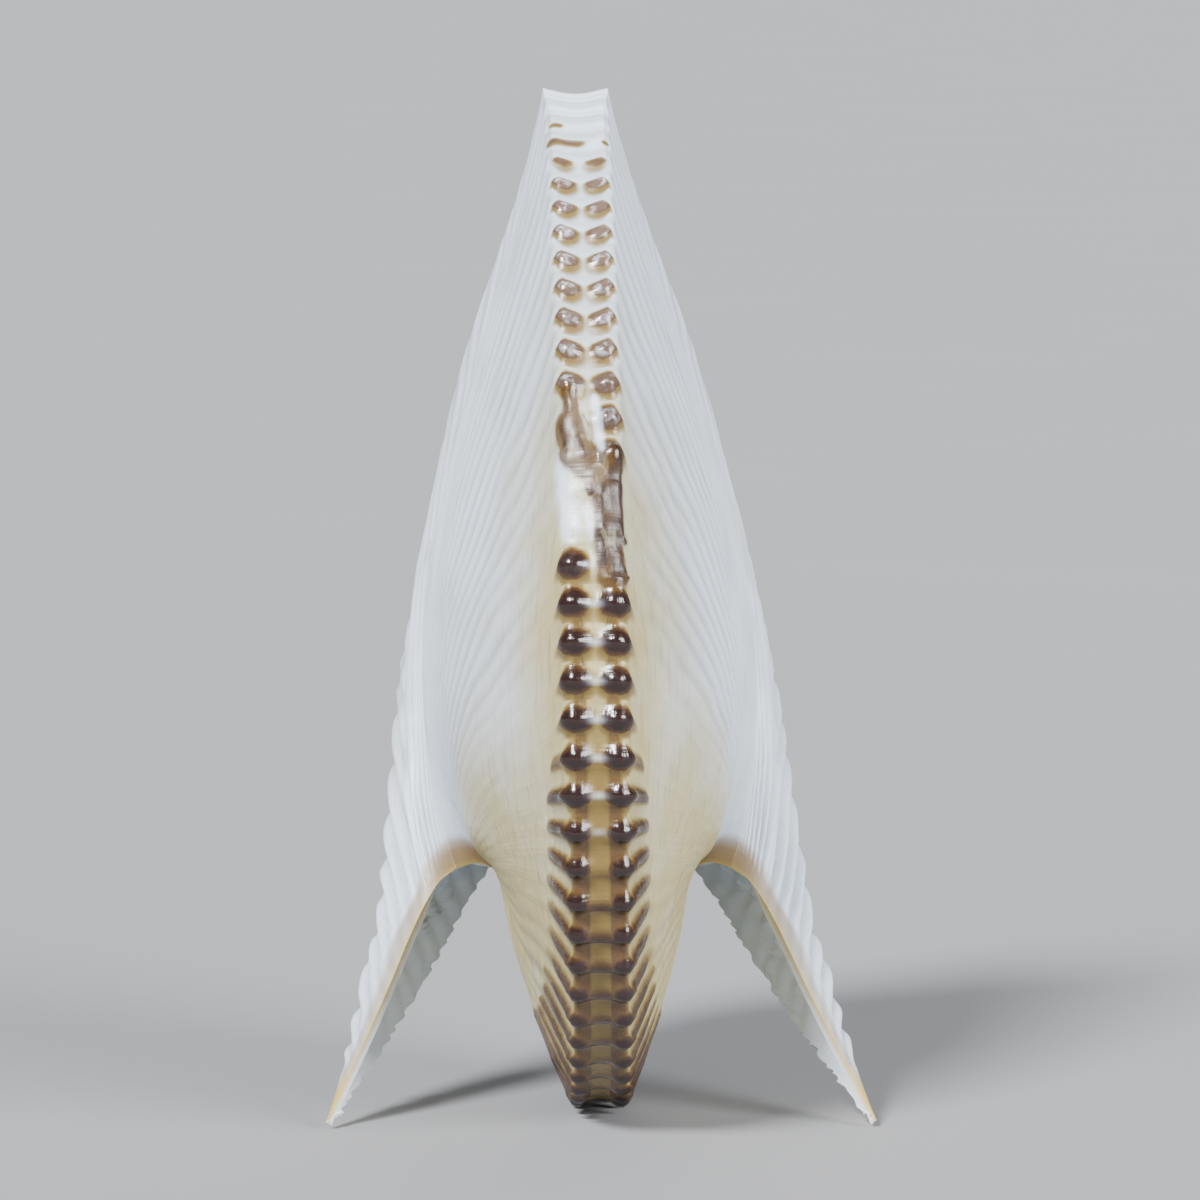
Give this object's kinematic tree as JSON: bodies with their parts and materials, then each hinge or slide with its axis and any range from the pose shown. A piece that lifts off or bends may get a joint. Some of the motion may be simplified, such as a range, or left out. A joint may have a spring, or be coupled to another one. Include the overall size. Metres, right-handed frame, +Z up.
{
  "type": "paper nautilus shell",
  "caption": "Thin ribbed argonaut shell standing on two flared ears and its coil, with a narrow knobbed keel and an open body chamber.",
  "frame": {"origin": "centre of the bounding box, on the surface that the shell stands on", "axes": "+Z up, +X across the shell between its ears, -Y towards the keel and +Y towards the aperture"},
  "size_m": [0.0638, 0.0708, 0.1196],
  "materials": {
    "shell_calcite": "glossy, thin natural calcite, cream white with brown keel knobs"
  },
  "bodies": {
    "root": {"shell": "shell_calcite"}
  },
  "joints": []
}
